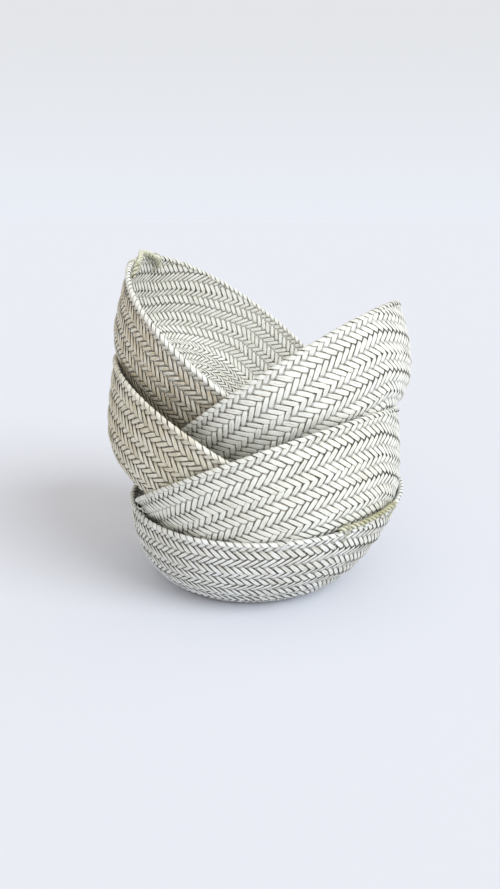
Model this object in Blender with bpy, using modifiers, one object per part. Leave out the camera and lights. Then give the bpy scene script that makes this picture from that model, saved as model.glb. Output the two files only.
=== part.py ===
"""Five shallow palm-leaf wall baskets, nested with alternating tilts.

Each basket is one plaited braid coiled into a round bowl, with the strand that sews its coils together,
a twisted hanging loop along the rim and the two stitches that hold the loop. The lowest basket stands on
its flat base with the origin at the middle of that base. Each basket above it is lowered, at its own lean
and place, until it rests on the ones below.
"""

import math

import bmesh
import bpy
from mathutils import Matrix, Vector
from mathutils.bvhtree import BVHTree

MM = 0.001

# Sizes shared by the five baskets, in metres
RIM_RADIUS = 150.0 * MM
DEPTH = 98.0 * MM
WALL = 3.4 * MM
PLAIT_WIDTH = 40.0 * MM
RIDGE_HEIGHT = 0.9 * MM
RIM_ROLL = 5.5 * MM
RIM_SWELL = 0.9 * MM
THREAD_THICKNESS = 0.9 * MM
LOOP_THICKNESS = 6.0 * MM
LOOP_SPAN = 88.0 * MM
LOOP_LEG = 12.0 * MM
LOOP_ARCH = 1.0 * MM
STITCH_THICKNESS = 1.4 * MM
STITCH_REACH = 12.0 * MM
SEAT_GAP = 0.3 * MM
REST_GAP = 0.5 * MM
MERGE_DISTANCE = 0.01 * MM

# How finely round shapes are cut
SIDES = 30
LOOP_POINTS = 23
OUTLINE_SAMPLES = 240

# The strands cross this many times from edge to edge of the braid. Where their chevrons point back the
# wall's faces are drawn in, and where they point ahead they stand out, by crossings from the upper edge
CROSSINGS = 11
FURROWS = (2.5, 8.5)
CRESTS = (5.5, 11.5)

# One column for each basket, from the lowest to the top one.
# Base radius and the radius where the lines of base and wall would meet, as shares of the rim radius
BASE_SHARES = (0.52, 0.52, 0.47, 0.36, 0.63)
CORNER_SHARES = (0.92, 0.807, 0.772, 0.85, 0.837)
# How far the outline is drawn into that corner: 1 is a parabola, more is fuller
CORNER_PULL_SHARES = (0.6, 1.9, 1.8, 1.3, 2.6)
# Depth as a share of DEPTH: the baskets are worked by hand
DEPTH_SHARES = (1.035, 1.02, 0.98, 0.985, 0.81)
# The pressed lowest basket: how its rim is pushed sideways, as shares of the rim radius, and how much
# higher its wall stands at +X and at +Y, as shares of its height
RIM_PUSH_SHARES = ((0.115, 0.013), (0.0, 0.0), (0.0, 0.0), (0.0, 0.0), (0.0, 0.0))
RIM_RISE_SHARES = ((0.073, 0.088), (0.0, 0.0), (0.0, 0.0), (0.0, 0.0), (0.0, 0.0))
# How each basket's axis leans, in degrees to the right (+X) and to the back (+Y)
LEANS = ((0.0, 0.0), (-20.3, 18.7), (31.0, -0.7), (-33.1, 18.3), (36.7, -13.9))
# Where the middle of each base stands, right and back of the lowest one's, as shares of the rim radius
PLACE_SHARES = ((0.0, 0.0), (0.34, -0.24), (-0.433, 0.064), (0.552, -0.065), (-0.35, 0.311))
# Middle of each hanging loop, in degrees round the rim from the basket's own +X
LOOP_ANGLES = (-47.0, 150.0, 120.0, 30.0, 162.0)
# Whether each loop's ends turn down the inner face (1) or lie stitched flat on the rim (0)
LOOP_TURNS = (0, 1, 1, 1, 1)
# Where the loop leaves the top of the rim and where its stitches are, as shares of its half span
LOOP_TOP_SHARE = 0.62
STITCH_SHARE = 0.78
# Where the braid steps down from one coil to the next, in degrees round the rim, and over what angle
STEP_ANGLES = (60.0, 80.0, 100.0, 70.0, 200.0)
STEP_SPAN = 60.0

# Colours read from the photograph: bleached palm, the sewing strand, unbleached loop palm
PLAIT_COLOUR = (0.72, 0.71, 0.63, 1.0)
THREAD_COLOUR = (0.62, 0.59, 0.48, 1.0)
LOOP_COLOUR = (0.50, 0.50, 0.27, 1.0)


def clear_scene():
    for obj in list(bpy.data.objects):
        bpy.data.objects.remove(obj)


def palm(name, colour, roughness):
    """A matt palm-leaf material."""
    material = bpy.data.materials.new(name)
    material.use_nodes = True
    shader = material.node_tree.nodes["Principled BSDF"]
    shader.inputs["Base Color"].default_value = colour
    shader.inputs["Roughness"].default_value = roughness
    shader.inputs["Metallic"].default_value = 0.0
    return material


class Bowl:
    """The shape of one basket in its own frame: base down at z = 0, axis along Z."""

    def __init__(self, number):
        self.number = number
        self.name = f"basket_{number + 1}"
        self.base = BASE_SHARES[number] * RIM_RADIUS
        self.corner = CORNER_SHARES[number] * RIM_RADIUS
        self.pull = CORNER_PULL_SHARES[number]
        self.depth = DEPTH_SHARES[number] * DEPTH
        self.outline = [Vector((0.0, 0.0)), Vector((self.base, 0.0))]
        for step in range(1, OUTLINE_SAMPLES + 1):
            self.outline.append(self.wall_at(step / OUTLINE_SAMPLES))
        self.lengths = [0.0]
        for a, b in zip(self.outline, self.outline[1:]):
            self.lengths.append(self.lengths[-1] + (b - a).length)
        self.rim = self.lengths[-1]

    def wall_at(self, t):
        """A point of the wall's outer line, from the base at t = 0 to the rim at t = 1: a conic."""
        a = (1 - t) ** 2
        b = 2 * self.pull * t * (1 - t)
        c = t ** 2
        radius = (a * self.base + b * self.corner + c * RIM_RADIUS) / (a + b + c)
        return Vector((radius, c * self.depth / (a + b + c)))

    def outer(self, along):
        """Radius and height of the outer face at a distance along the outline from the base's middle."""
        along = min(max(along, 0.0), self.rim)
        for i in range(len(self.lengths) - 1):
            if along <= self.lengths[i + 1]:
                break
        share = (along - self.lengths[i]) / (self.lengths[i + 1] - self.lengths[i])
        return self.outline[i].lerp(self.outline[i + 1], share)

    def inward(self, along):
        """The direction across the wall, from its outer to its inner face."""
        reach = PLAIT_WIDTH / 16
        ahead = self.outer(min(along + reach, self.rim))
        behind = self.outer(max(along - reach, 0.0))
        run = (ahead - behind).normalized()
        return Vector((-run.y, run.x))

    def section(self, along, across, above=0.0):
        """Radius and height at a distance along the wall and across it; above the rim it runs straight on."""
        point = self.outer(along)
        normal = self.inward(along)
        run = Vector((normal.y, -normal.x))
        return point + normal * across + run * above

    def place(self, radius, height, degrees):
        """A point round the axis, with the push and rise of a pressed basket."""
        angle = math.radians(degrees)
        x = radius * math.cos(angle)
        y = radius * math.sin(angle)
        return self.press(Vector((x, y, height)))

    def place_on_flat(self, radius, height, degrees):
        """The same on the wall's flat sides: a circle of that radius, cut into SIDES flats."""
        half = 180.0 / SIDES
        off = degrees % (2 * half) - half
        return self.place(radius * math.cos(math.radians(half)) / math.cos(math.radians(off)), height, degrees)

    def press(self, point):
        push = RIM_PUSH_SHARES[self.number]
        rise = RIM_RISE_SHARES[self.number]
        up = point.z / self.depth
        lift = (rise[0] * point.x + rise[1] * point.y) / RIM_RADIUS
        x = point.x + push[0] * RIM_RADIUS * up
        y = point.y + push[1] * RIM_RADIUS * up
        return Vector((x, y, point.z * (1 + lift)))

    def levels(self):
        """Distances along the outline where the solid has an edge, with how far its faces draw in there:
        at the roll of the rim, which stands out, at the furrows and crests of the braid's chevron rows,
        and at the edge of the base."""
        row = PLAIT_WIDTH / CROSSINGS
        found = [(self.rim, 0.0), (self.rim - RIM_ROLL / 2, -RIM_SWELL), (self.rim - RIM_ROLL, 0.0)]
        coil = 0
        while True:
            for furrow, crest in zip(FURROWS, CRESTS):
                for crossing, drawn in ((furrow, RIDGE_HEIGHT), (crest, 0.0)):
                    along = self.rim - (coil * CROSSINGS + crossing) * row
                    if along < self.base + row:
                        return found + [(self.base, 0.0)]
                    found.append((along, drawn))
            coil += 1


def add_object(name, data, collection, material):
    obj = bpy.data.objects.new(name, data)
    collection.objects.link(obj)
    data.materials.append(material)
    return obj


def make_plait(bowl, collection, material):
    """The coiled braid as a closed bowl with ridged faces: its section turned about Z, then pressed."""
    levels = bowl.levels()
    rim_middle = bowl.section(bowl.rim, WALL / 2, WALL / 8)
    section = [Vector((0.0, WALL))]
    for along, drawn in reversed(levels):
        section.append(bowl.section(along, WALL - drawn))
    section.append(rim_middle)
    for along, drawn in levels:
        section.append(bowl.section(along, drawn))
    section.append(Vector((0.0, 0.0)))

    mesh = bpy.data.meshes.new(bowl.name + "_section")
    shape = bmesh.new()
    corners = [shape.verts.new((point.x, 0.0, point.y)) for point in section]
    for a, b in zip(corners, corners[1:]):
        shape.edges.new((a, b))
    shape.to_mesh(mesh)
    shape.free()

    turned = bpy.data.objects.new(bowl.name + "_turned", mesh)
    collection.objects.link(turned)
    screw = turned.modifiers.new("turn", "SCREW")
    screw.axis = "Z"
    screw.steps = SIDES
    screw.render_steps = SIDES
    screw.use_merge_vertices = True
    screw.merge_threshold = MERGE_DISTANCE
    bpy.context.view_layer.update()
    whole = bpy.data.meshes.new_from_object(turned.evaluated_get(bpy.context.evaluated_depsgraph_get()))
    bpy.data.objects.remove(turned)
    for vertex in whole.vertices:
        vertex.co = bowl.press(vertex.co)
    whole.shade_smooth()
    whole.set_sharp_from_angle(angle=math.radians(40))
    whole.materials.clear()
    whole.name = bowl.name + "_plait"
    return add_object(bowl.name + "_plait", whole, collection, material)


def make_tube(name, points, thickness, sides_level, collection, material):
    """A round strand along a line of points, with closed ends."""
    curve = bpy.data.curves.new(name, "CURVE")
    curve.dimensions = "3D"
    curve.bevel_depth = thickness / 2
    curve.bevel_resolution = sides_level
    curve.use_fill_caps = True
    spline = curve.splines.new("POLY")
    spline.points.add(len(points) - 1)
    for target, point in zip(spline.points, points):
        target.co = (point.x, point.y, point.z, 1.0)
    return add_object(name, curve, collection, material)


def seam_route(bowl):
    """The seam between the coils: level round the bowl, stepping in by one braid at each turn."""
    step = 360.0 / SIDES
    degrees = STEP_ANGLES[bowl.number] - STEP_SPAN
    start = degrees
    along = bowl.rim - PLAIT_WIDTH
    route = []
    while along > PLAIT_WIDTH / 2:
        turn, rest = divmod(degrees - start, 360.0)
        ramp = max(0.0, rest - (360.0 - STEP_SPAN)) / STEP_SPAN
        along = bowl.rim - PLAIT_WIDTH * (1 + turn + ramp)
        if along > PLAIT_WIDTH / 2:
            route.append((along, degrees))
        degrees += step
    return route


def make_thread(bowl, plait, collection, material):
    """The sewing strand, laid on the inner face of the wall along the seam."""
    shape = bmesh.new()
    shape.from_mesh(plait.data)
    wall = BVHTree.FromBMesh(shape)
    points = []
    for along, degrees in seam_route(bowl):
        inside = bowl.section(along, WALL + THREAD_THICKNESS)
        near, normal, _, _ = wall.find_nearest(bowl.place(inside.x, inside.y, degrees))
        points.append(near + normal * (THREAD_THICKNESS / 2 + SEAT_GAP))
    shape.free()
    return make_tube(bowl.name + "_seam_thread", points, THREAD_THICKNESS, 0, collection, material)


def loop_line(bowl, share):
    """Across and above the rim for a point of the hanging loop, at a share of its half span. The loop
    lies over the rim in its middle and, where it turns, goes down the inner face towards its ends."""
    clear = LOOP_THICKNESS / 2 + SEAT_GAP
    if not LOOP_TURNS[bowl.number]:
        return WALL - clear - SEAT_GAP, clear + WALL / 8
    turned = min(share / LOOP_TOP_SHARE, 1.0)
    swing = math.radians(90.0) * turned * turned * (3 - 2 * turned)
    across = WALL / 2 + (WALL / 2 + RIM_SWELL + clear) * math.sin(swing)
    above = (clear + WALL / 8 + LOOP_ARCH) * math.cos(swing)
    if share > LOOP_TOP_SHARE:
        down = (share - LOOP_TOP_SHARE) / (1 - LOOP_TOP_SHARE)
        above -= LOOP_LEG * down * down * (2 - down)
    return across, above


def rim_degrees(length):
    """The angle that a length takes round the rim."""
    return math.degrees(length / RIM_RADIUS)


def make_loop(bowl, collection, material):
    """The hanging loop, along the rim."""
    points = []
    for i in range(LOOP_POINTS):
        place = 2 * i / (LOOP_POINTS - 1) - 1
        across, above = loop_line(bowl, abs(place))
        spot = bowl.section(bowl.rim, across, above)
        degrees = LOOP_ANGLES[bowl.number] + rim_degrees(place * LOOP_SPAN / 2)
        points.append(bowl.place_on_flat(spot.x, spot.y, degrees))
    return make_tube(bowl.name + "_hanging_loop", points, LOOP_THICKNESS, 2, collection, material)


def stitch_line(bowl):
    """A stitch over the rim and round the loop, in steps across the wall and above the rim."""
    half = STITCH_THICKNESS / 2 + SEAT_GAP
    across, above = loop_line(bowl, STITCH_SHARE)
    beyond = loop_line(bowl, (1 + STITCH_SHARE) / 2)[1]
    slope = (above - beyond) / ((1 - STITCH_SHARE) * LOOP_SPAN / 4)
    wide = LOOP_THICKNESS / 2 + half + 2 * SEAT_GAP
    tall = wide * math.hypot(1.0, slope)
    clear = half + RIM_SWELL
    line = [(-half, -STITCH_REACH), (-clear, -RIM_ROLL), (-clear, -RIM_ROLL / 2)]
    turned = LOOP_TURNS[bowl.number]
    if turned:
        line.append((-half, 0.0))
        line.append((WALL / 4, half + WALL / 4))
        line.append((WALL / 2, max(half + WALL / 4, above + tall)))
    for step in range(5):
        angle = math.radians(180.0 - 90.0 * turned - 45.0 * step)
        line.append((across + wide * math.cos(angle), above + tall * math.sin(angle)))
    foot = above - tall - half if turned else 0.0
    line.append((WALL + clear, foot))
    line.append((WALL + clear, foot - STITCH_REACH / 2))
    return line


def make_stitch(bowl, side, collection, material):
    sign = {"a": -1, "b": 1}[side]
    degrees = LOOP_ANGLES[bowl.number] + sign * rim_degrees(STITCH_SHARE * LOOP_SPAN / 2)
    points = []
    for across, above in stitch_line(bowl):
        spot = bowl.section(bowl.rim, across, above)
        points.append(bowl.place_on_flat(spot.x, spot.y, degrees))
    name = f"{bowl.name}_loop_stitch_{side}"
    return make_tube(name, points, STITCH_THICKNESS, 1, collection, material)


def lean_matrix(number):
    """The turn that leans a basket's axis."""
    right, back = LEANS[number]
    axis = Vector((math.tan(math.radians(right)), math.tan(math.radians(back)), 1.0)).normalized()
    side = Vector((1.0, 0.0, 0.0))
    side = (side - axis * side.dot(axis)).normalized()
    return Matrix((side, axis.cross(side), axis)).transposed()


def world_shape(objects):
    """One mesh of several objects as they stand in the world."""
    whole = bmesh.new()
    depsgraph = bpy.context.evaluated_depsgraph_get()
    for obj in objects:
        mesh = bpy.data.meshes.new_from_object(obj.evaluated_get(depsgraph))
        mesh.transform(obj.matrix_world)
        whole.from_mesh(mesh)
        bpy.data.meshes.remove(mesh)
    return whole


def probes(shape):
    """The corners of a shape and points along its long edges."""
    found = [vertex.co.copy() for vertex in shape.verts]
    for edge in shape.edges:
        a, b = (vertex.co for vertex in edge.verts)
        cuts = int((b - a).length / (RIM_RADIUS / 40))
        found.extend(a.lerp(b, cut / (cuts + 1)) for cut in range(1, cuts + 1))
    return found


def drop_height(upper, lower):
    """How far the upper shape can be lowered, straight down, before it meets the lower one."""
    down = Vector((0.0, 0.0, -1.0))
    lower_tree = BVHTree.FromBMesh(lower)
    upper_tree = BVHTree.FromBMesh(upper)
    room = math.inf
    for point in probes(upper):
        hit, _, _, distance = lower_tree.ray_cast(point, down)
        if hit:
            room = min(room, distance)
    for point in probes(lower):
        hit, _, _, distance = upper_tree.ray_cast(point, -down)
        if hit:
            room = min(room, distance)
    return room


def rest_on(stand, pieces, below):
    """Lowers a basket onto the baskets below it."""
    stand.location.z = 4 * (len(below) + 1) * RIM_RADIUS
    bpy.context.view_layer.update()
    upper = world_shape(pieces)
    room = math.inf
    for lower in below:
        room = min(room, drop_height(upper, lower))
    upper.free()
    stand.location.z -= room - REST_GAP
    bpy.context.view_layer.update()


def main():
    clear_scene()
    collection = bpy.data.collections.new("stack_of_palm_wall_baskets")
    bpy.context.scene.collection.children.link(collection)
    plait_palm = palm("bleached_palm", PLAIT_COLOUR, 0.62)
    thread_palm = palm("sewing_palm", THREAD_COLOUR, 0.7)
    loop_palm = palm("unbleached_palm", LOOP_COLOUR, 0.68)
    below = []
    for number in range(len(LEANS)):
        bowl = Bowl(number)
        plait = make_plait(bowl, collection, plait_palm)
        pieces = [
            plait,
            make_thread(bowl, plait, collection, thread_palm),
            make_loop(bowl, collection, loop_palm),
            make_stitch(bowl, "a", collection, loop_palm),
            make_stitch(bowl, "b", collection, loop_palm),
        ]
        stand = bpy.data.objects.new(bowl.name + "_stand", None)
        collection.objects.link(stand)
        for piece in pieces:
            piece.parent = stand
        stand.matrix_world = lean_matrix(number).to_4x4()
        right, back = PLACE_SHARES[number]
        stand.location = (right * RIM_RADIUS, back * RIM_RADIUS, 0.0)
        if below:
            rest_on(stand, pieces, below)
        bpy.context.view_layer.update()
        below.append(world_shape(pieces))
        print(bowl.name, "stands at height", round(stand.location.z, 5))
    for shape in below:
        shape.free()


main()
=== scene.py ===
import math

import bmesh
import bpy
import numpy as np
from mathutils import Matrix, Vector


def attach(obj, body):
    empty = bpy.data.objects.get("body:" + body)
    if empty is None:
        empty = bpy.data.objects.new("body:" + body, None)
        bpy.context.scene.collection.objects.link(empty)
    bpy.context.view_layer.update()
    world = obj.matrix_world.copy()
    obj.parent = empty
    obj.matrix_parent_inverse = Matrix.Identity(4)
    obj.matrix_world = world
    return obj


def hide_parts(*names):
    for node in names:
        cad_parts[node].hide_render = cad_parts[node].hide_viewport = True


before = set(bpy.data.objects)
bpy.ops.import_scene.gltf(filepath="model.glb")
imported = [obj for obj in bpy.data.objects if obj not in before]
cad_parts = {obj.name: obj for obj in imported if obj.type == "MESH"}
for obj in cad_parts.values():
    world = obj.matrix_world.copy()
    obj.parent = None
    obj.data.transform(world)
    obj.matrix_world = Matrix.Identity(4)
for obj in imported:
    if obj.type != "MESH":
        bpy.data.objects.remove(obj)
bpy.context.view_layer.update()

MM = 0.001

# the camera
IMAGE_HEIGHT = 889             # in pixels, as the focal length
FOCAL_PIXELS = 800.0
SENSOR_HEIGHT = 24.0           # in millimetres
NEAR_CLIP = 10.0 * MM
LOOKS_AT = Vector((-0.0005, 0.0, 0.1465))
DISTANCE = 875.3 * MM
ELEVATION = 0.288              # in radians above level

camera_data = bpy.data.cameras.new("camera")
camera_data.sensor_fit = "VERTICAL"
camera_data.sensor_height = SENSOR_HEIGHT
camera_data.lens = SENSOR_HEIGHT * FOCAL_PIXELS / IMAGE_HEIGHT
camera_data.clip_start = NEAR_CLIP
camera = bpy.data.objects.new("camera", camera_data)
camera.location = LOOKS_AT + DISTANCE * Vector((0.0, -math.cos(ELEVATION), math.sin(ELEVATION)))
camera.rotation_euler = (math.pi / 2 - ELEVATION, 0.0, 0.0)
bpy.context.scene.collection.objects.link(camera)
bpy.context.scene.camera = camera
bpy.context.scene.view_settings.view_transform = "Standard"

# sizes of the five baskets, as in the solids
RIM_RADIUS = 150.0 * MM
DEPTH = 98.0 * MM
WALL = 3.4 * MM
BRAID = 40.0 * MM
RIM_ROLL = 5.5 * MM
RIM_SWELL = 0.9 * MM
LOOP_THICKNESS = 6.0 * MM
LOOP_SPAN = 88.0 * MM
LOOP_LEG = 12.0 * MM
LOOP_ARCH = 1.0 * MM
STITCH_THICKNESS = 1.4 * MM
STITCH_REACH = 12.0 * MM
THREAD_THICKNESS = 0.9 * MM
SEAT_GAP = 0.3 * MM
FLATS = 30
OUTLINE_SAMPLES = 240
BASE_SHARES = (0.52, 0.52, 0.47, 0.36, 0.63)
CORNER_SHARES = (0.92, 0.807, 0.772, 0.85, 0.837)
CORNER_PULL_SHARES = (0.6, 1.9, 1.8, 1.3, 2.6)
DEPTH_SHARES = (1.035, 1.02, 0.98, 0.985, 0.81)
RIM_PUSH_SHARES = ((0.115, 0.013), (0.0, 0.0), (0.0, 0.0), (0.0, 0.0), (0.0, 0.0))
RIM_RISE_SHARES = ((0.073, 0.088), (0.0, 0.0), (0.0, 0.0), (0.0, 0.0), (0.0, 0.0))
LEANS = ((0.0, 0.0), (-20.3, 18.7), (31.0, -0.7), (-33.1, 18.3), (36.7, -13.9))
PLACE_SHARES = ((0.0, 0.0), (0.34, -0.24), (-0.433, 0.064), (0.552, -0.065), (-0.35, 0.311))
STAND_HEIGHTS = (0.0, 48.14 * MM, 86.43 * MM, 138.98 * MM, 189.87 * MM)
LOOP_ANGLES = (-47.0, 150.0, 120.0, 30.0, 162.0)
LOOP_TURNS = (0, 1, 1, 1, 1)
LOOP_TOP_SHARE = 0.62
STITCH_SHARE = 0.78
STEP_ANGLES = (60.0, 80.0, 100.0, 70.0, 200.0)
STEP_SPAN = 60.0
# loose ends at the rims: each one's name, its points in degrees, mm across the wall and mm above the rim, and
# its width in mm
SLIVERS = {
    "basket_1": (
        ("sliver_long", ((-86.6, -0.6, -9.5), (-86.0, -3.2, -7.5), (-84.8, -4.4, -2.0), (-83.4, -4.0, 3.0),
                         (-82.0, -2.6, 7.0)), 1.7),
        ("sliver_short", ((-82.6, -0.8, -4.5), (-83.4, -3.4, -1.5), (-84.8, -3.4, 2.4)), 1.3),
    ),
    "basket_2": (
        ("split_end_a", ((193.0, -0.5, -4.0), (193.6, -3.0, -6.0), (195.4, -4.4, -8.5),
                         (197.4, -2.8, -11.5)), 1.7),
        ("split_end_b", ((197.0, -0.5, -10.0), (197.8, -2.8, -12.0), (199.4, -3.6, -15.0),
                         (201.6, -1.8, -17.5)), 1.5),
        ("split_end_c", ((191.5, -0.5, -14.0), (192.6, -2.6, -15.5), (194.6, -3.4, -18.5),
                         (195.6, -1.6, -21.0)), 1.4),
    ),
}

# the plait
BASKETS = 5
MOST_COILS = 5
FULL_TURN = 360.0
COURSE_START = -140.0          # degrees; the braid's course is worked out from here
WEAVE_START = -75.0            # degrees; the first coil is woven from here, above the rim, and then cut level
LEAST_RADIUS = 12.0 * MM       # of the course in the middle of the base
CENTRE_HOLE = 3.5 * MM
SLOPE_REACH = BRAID / 16       # each way along the outline, where its direction is taken
SEED = 41
PHASES = (0.0, 6.3)            # radians, about a whole turn
WAVES = (3, 5, 8, 13)          # swells round a wall
WAVE_HEIGHTS = (0.5, 1.0)
WAVE_HEIGHT = 0.22 * MM
WAVE_TWIST = 40.0              # radians on for each metre down the wall
ROWS = 11                      # crossings of the strands across one braid
ROW = BRAID / ROWS
STRAND_SPACINGS = (8.3 * MM, 8.3 * MM, 8.3 * MM, 8.3 * MM, 7.2 * MM)  # along the braid's upper edge
# a strand's least and most width, in crossings
STRAND_WIDTHS = ((0.85, 0.99), (0.90, 1.03), (0.86, 1.00), (0.91, 1.04), (0.83, 0.97))
STRAND_SIDES = 6
FLAT_PITCH = 4.0               # from strand to strand while they lie flat and straight
HEXAGON_HEIGHT = 0.433         # half the height of a hexagon that is 1 wide
SHOULDER_SHARE = 1.16          # how much wider a strand's flat faces are than the hexagon's
WAIST_SHARE = 0.70             # a strand's width at its turns
WIDTH_SWAY = 0.03
WIDTH_SWAY_RATE = 1.7          # radians for each crossing, as the other rates
STRAND_NUDGE = 0.035           # sideways, in crossings
STRAND_SWAY = 0.015
STRAND_SWAY_RATE = 1.1
STRAND_TILTS = (0.3, 1.0)
TILT_HEIGHT = 0.3 * MM
TILT_RATE = 0.9
STRAND_THICKNESS = 1.15 * MM
WEAVE_SWING = 1.10 * MM        # how far a strand goes out and in of the middle of the wall
PILLOW = 0.50 * MM             # how far the middle of a float stands out above its ends
FURROW_SHARE = 0.64            # how much flatter the weave is in a furrow than on a crest
SUNK_START = 1.3               # a strand darkens, as painted shade, where its level is under this many swings
CROSSING_LENGTH = 0.71         # of the grain along a strand, in centimetres
GRAIN_SHIFT = 3.0              # how far the grain moves on with a strand's phase
RIM_CUT = 2.0                  # mm below the rim, where the folds take over
CENTRE_REACH = 30.0 * MM       # within which the weave is flatter
CENTRE_SHARE = 0.5
WEAVE_EDGE_ANGLE = 50.0        # degrees; edges sharper than this are not smoothed
# each turn's place, in crossings from the braid's upper edge, and how the strand lies after it: over (1) or
# under (-1)
FALLING_TURNS = ((-0.45, 0.0), (0.4, -1.0), (2.5, 1.0), (5.5, -1.0), (8.5, 1.0), (11.55, 0.0))
RISING_TURNS = ((-0.45, 0.0), (0.3, 1.0), (2.5, -1.0), (5.5, 1.0), (8.5, -1.0), (11.55, 0.0))
TURN_HALF = 0.42               # half the length of a turn, in crossings
TURN_STEPS = (-1.0, -0.35, 0.35, 1.0)
FLOAT_CUTS = 3                 # equal parts of a long float
ARCH_SKEW = 1.4                # moves a float's highest place towards the crest
ARCH_FULLNESS = 0.7
FURROW_PLACES = (-0.5, 2.5, 5.5, 8.5, 11.5)
FURROW_LEVELS = (0.0, 1.0, 0.0, 1.0, 0.0)

# the folds over the rims
FOLD_REACH = 6.8 * MM          # how far a fold goes down each side of the rim
FOLD_LEAN = 40.0               # degrees
FOLD_CUTS = 12
FOLD_THICKNESS = 1.5 * MM
FOLD_WIDTHS = (0.84, 1.02)
FOLD_NUDGE = 0.06
FOLD_SIZES = (0.8, 1.2)
FOLD_OVERLAP = 1.06
FOLD_TIP_SHARE = 0.3
FOLD_SINK = 0.8 * MM           # how deep the folds' middle lies in the rolled rim
FOLD_RISE = 0.5 * MM
FOLD_TUCK = 1.1 * MM           # how far a fold's ends go back in
FOLD_CROWN = 0.45 * MM         # how much taller than wide the roll is
FOLD_SEAT_SHARE = 0.48
FOLD_GRAIN = 0.6
FOLD_OUTER_START = 0.6         # a fold's share, from the rim down the outer face, where it is browner: partly wear, partly painted warm shade
# how much browner a fold's outer end is: partly wear, partly painted warm shade
FOLD_OUTER_AGE_AND_SHADE = 0.35
FOLD_EDGE_ANGLE = 60.0

# loops, stitches, seam and loose ends
PLIES = 2
LOOP_PITCH = 11.0 * MM
LOOP_PLY_SHARE = 0.53
LOOP_PLY_FLAT = 0.95
LOOP_POINTS = 60
STITCH_PITCH = 6.0 * MM
STITCH_PLY_SHARE = 0.62
STITCH_POINTS = 60
CORD_POINTS = 150
PLY_TAPER = 0.5
END_SHARE = 0.04               # of a strand's length, over which its ends taper
SEAM_STEP = 1.5                # degrees
SEAM_DIP = 0.5 * MM
SEAM_SWELL_SHARE = 1.2
SEAM_FLAT = 0.7
CURL_TURNS = 2.3
CURL_POINTS = 66
CURL_START = 0.7 * MM
CURL_PITCH = 1.7 * MM
CURL_RISE = 1.1 * MM
CURL_THICKNESS = 1.9 * MM
CURL_FLAT = 1.2
SLIVER_POINTS = 16
SLIVER_SEAT = 6.0 * MM         # below the rim on the inner face, which a sliver's flat side faces
SLIVER_FLAT = 0.3
SLIVER_TAPER = 0.2
# how aged each small piece is, from 0 to 1
LOOP_SHADE = 0.5
STITCH_SHADE = 0.3
SEAM_SHADE = 0.4
CURL_SHADE = 0.3
SLIVER_SHADE = 0.2

UP = np.array((0.0, 0.0, 1.0))


class Bowl:
    """One basket's shape: points round it from the distance along its outline and across its wall."""

    def __init__(self, number):
        self.number = number
        self.name = f"basket_{number + 1}"
        self.base = BASE_SHARES[number] * RIM_RADIUS
        self.depth = DEPTH_SHARES[number] * DEPTH
        t = np.linspace(0.0, 1.0, OUTLINE_SAMPLES + 1)[1:]
        a = (1 - t) ** 2
        b = 2 * CORNER_PULL_SHARES[number] * t * (1 - t)
        c = t ** 2
        radius = (a * self.base + b * CORNER_SHARES[number] * RIM_RADIUS + c * RIM_RADIUS) / (a + b + c)
        height = c * self.depth / (a + b + c)
        self.radius = np.concatenate(([0.0, self.base], radius))
        self.height = np.concatenate(([0.0, 0.0], height))
        steps = np.hypot(np.diff(self.radius), np.diff(self.height))
        self.lengths = np.concatenate(([0.0], np.cumsum(steps)))
        self.rim = self.lengths[-1]
        right, back = LEANS[number]
        axis = Vector((math.tan(math.radians(right)), math.tan(math.radians(back)), 1.0)).normalized()
        side = Vector((1.0, 0.0, 0.0))
        side = (side - axis * side.dot(axis)).normalized()
        self.turn = np.array(Matrix((side, axis.cross(side), axis)).transposed())
        place = PLACE_SHARES[number]
        self.stand = np.array((place[0] * RIM_RADIUS, place[1] * RIM_RADIUS, STAND_HEIGHTS[number]))
        self.spacing = STRAND_SPACINGS[number]
        self.random = np.random.default_rng(SEED + number)
        self.waves = [(n, self.random.uniform(*PHASES), self.random.uniform(*WAVE_HEIGHTS)) for n in WAVES]

    def outer(self, along):
        along = np.clip(along, 0.0, self.rim)
        return np.interp(along, self.lengths, self.radius), np.interp(along, self.lengths, self.height)

    def section(self, along, across, above=0.0):
        """Radius and height: across the wall from its outer face, and straight on above the rim."""
        r0, h0 = self.outer(along - SLOPE_REACH)
        r1, h1 = self.outer(along + SLOPE_REACH)
        size = np.hypot(r1 - r0, h1 - h0)
        run_r, run_h = (r1 - r0) / size, (h1 - h0) / size
        r, h = self.outer(along)
        return r - run_h * across + run_r * above, h + run_r * across + run_h * above

    def place(self, radius, height, degrees):
        """Points in the part's frame from the radius and height in the basket's own."""
        number = self.number
        angle = np.radians(degrees)
        radius = radius * (1 + math.cos(math.pi / FLATS)) / 2
        x = radius * np.cos(angle)
        y = radius * np.sin(angle)
        push, rise = RIM_PUSH_SHARES[number], RIM_RISE_SHARES[number]
        lift = (rise[0] * x + rise[1] * y) / RIM_RADIUS
        up = RIM_RADIUS * (height / self.depth)
        local = np.stack((x + push[0] * up, y + push[1] * up, height * (1 + lift)), -1)
        return local @ self.turn.T + self.stand

    def wavy(self, degrees, down):
        """The slight hand-made waviness of the wall."""
        total = np.zeros_like(degrees)
        for n, phase, size in self.waves:
            total += size * np.sin(np.radians(degrees) * n + phase + down * WAVE_TWIST) / n ** 0.5
        return total * WAVE_HEIGHT

    def on_wall(self, degrees, down, out):
        """Points from the distance down from the rim and out from the middle of the wall."""
        radius, height = self.section(self.rim - down, WALL / 2 - out - self.wavy(degrees, down))
        return self.place(radius, height, degrees)

    def on_rim(self, degrees, across, above):
        """Points from the distance in from the outer face and above the rim."""
        radius, height = self.section(self.rim, across, above)
        return self.place(radius, height, degrees)


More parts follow.
